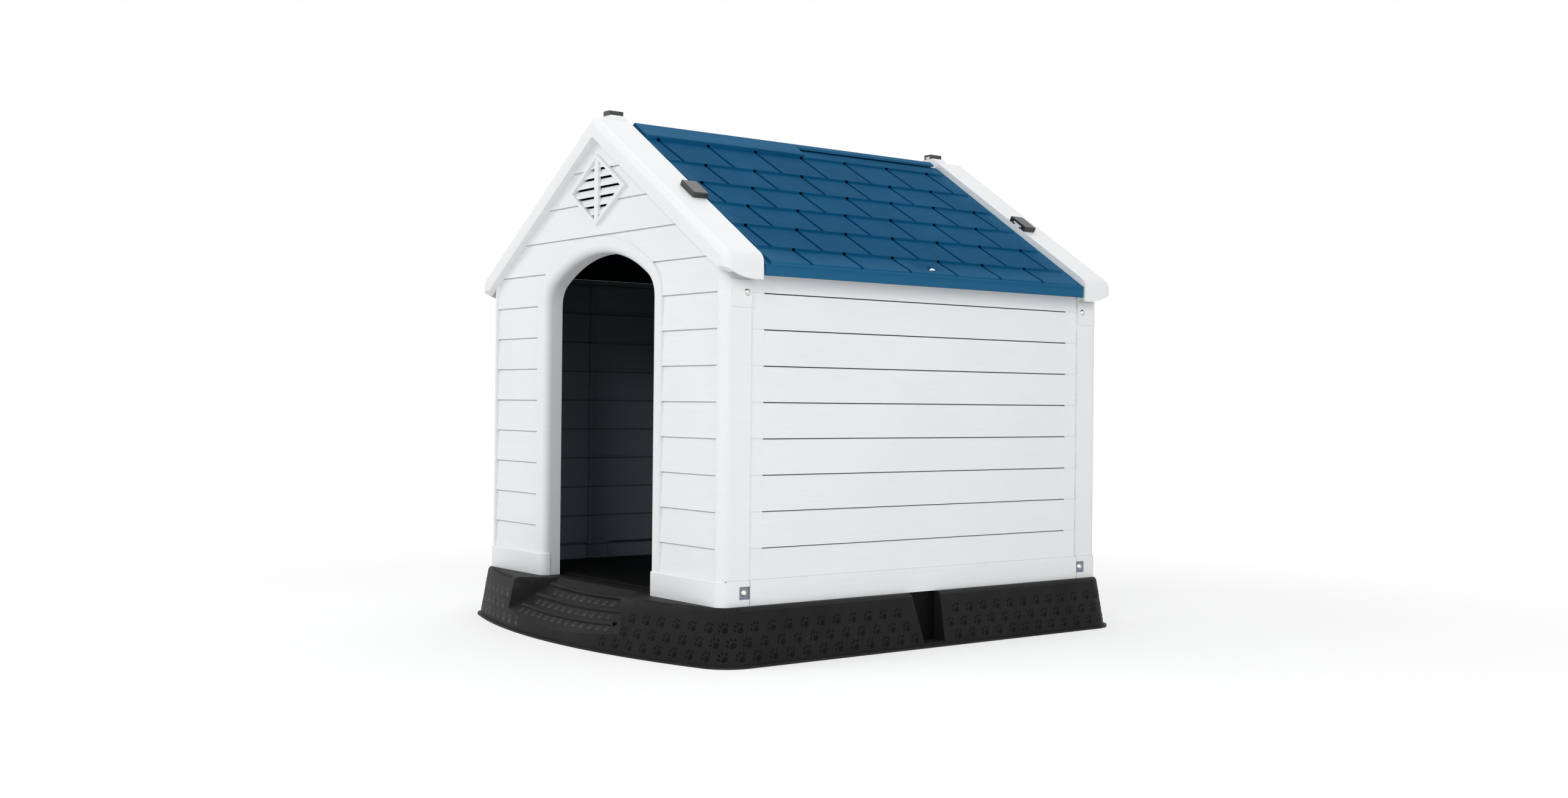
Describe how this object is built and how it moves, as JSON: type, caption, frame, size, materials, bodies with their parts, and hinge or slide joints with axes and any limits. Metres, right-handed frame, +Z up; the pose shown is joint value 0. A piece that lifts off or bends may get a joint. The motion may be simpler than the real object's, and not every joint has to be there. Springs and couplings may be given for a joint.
{
  "type": "dog house",
  "caption": "Plastic dog house with clapboard walls, an arched doorway, diamond gable vents, a shingled gable roof held by clips, and a hollow tray base with a step.",
  "frame": {"origin": "centre of the tray's footprint, on the floor", "axes": "+Z up, -Y out of the doorway, +X to the right of someone facing the doorway"},
  "size_m": [0.66, 0.77, 0.7258],
  "materials": {
    "wall_plastic": "fine grained white polypropylene",
    "roof_plastic": "satin blue polypropylene",
    "base_plastic": "black polypropylene with moulded paw prints",
    "clip_plastic": "black polypropylene",
    "screw_steel": "bright zinc plated steel"
  },
  "bodies": {
    "house": {"base_tray": "base_plastic", "front_wall": "wall_plastic", "rear_wall": "wall_plastic", "left_side_wall": "wall_plastic", "right_side_wall": "wall_plastic", "left_roof_panel": "roof_plastic", "right_roof_panel": "roof_plastic", "screw_front_left_lower": "screw_steel", "screw_front_left_upper": "screw_steel", "screw_front_right_lower": "screw_steel", "screw_front_right_upper": "screw_steel", "screw_rear_left_lower": "screw_steel", "screw_rear_left_upper": "screw_steel", "screw_rear_right_lower": "screw_steel", "screw_rear_right_upper": "screw_steel", "screw_eave_left": "screw_steel", "screw_eave_right": "screw_steel"},
    "clip_front_ridge": {"roof_clip_front_ridge": "clip_plastic"},
    "clip_front_left": {"roof_clip_front_left": "clip_plastic"},
    "clip_front_right": {"roof_clip_front_right": "clip_plastic"},
    "clip_rear_ridge": {"roof_clip_rear_ridge": "clip_plastic"},
    "clip_rear_left": {"roof_clip_rear_left": "clip_plastic"},
    "clip_rear_right": {"roof_clip_rear_right": "clip_plastic"}
  },
  "joints": [
    {"name": "slide_clip_front_ridge", "type": "slide", "parent": "house", "child": "clip_front_ridge", "axis": [0, -1, 0], "range_m": [0, 0.026]},
    {"name": "slide_clip_front_left", "type": "slide", "parent": "house", "child": "clip_front_left", "axis": [0, -1, 0], "range_m": [0, 0.026]},
    {"name": "slide_clip_front_right", "type": "slide", "parent": "house", "child": "clip_front_right", "axis": [0, -1, 0], "range_m": [0, 0.026]},
    {"name": "slide_clip_rear_ridge", "type": "slide", "parent": "house", "child": "clip_rear_ridge", "axis": [0, 1, 0], "range_m": [0, 0.026]},
    {"name": "slide_clip_rear_left", "type": "slide", "parent": "house", "child": "clip_rear_left", "axis": [0, 1, 0], "range_m": [0, 0.026]},
    {"name": "slide_clip_rear_right", "type": "slide", "parent": "house", "child": "clip_rear_right", "axis": [0, 1, 0], "range_m": [0, 0.026]}
  ]
}
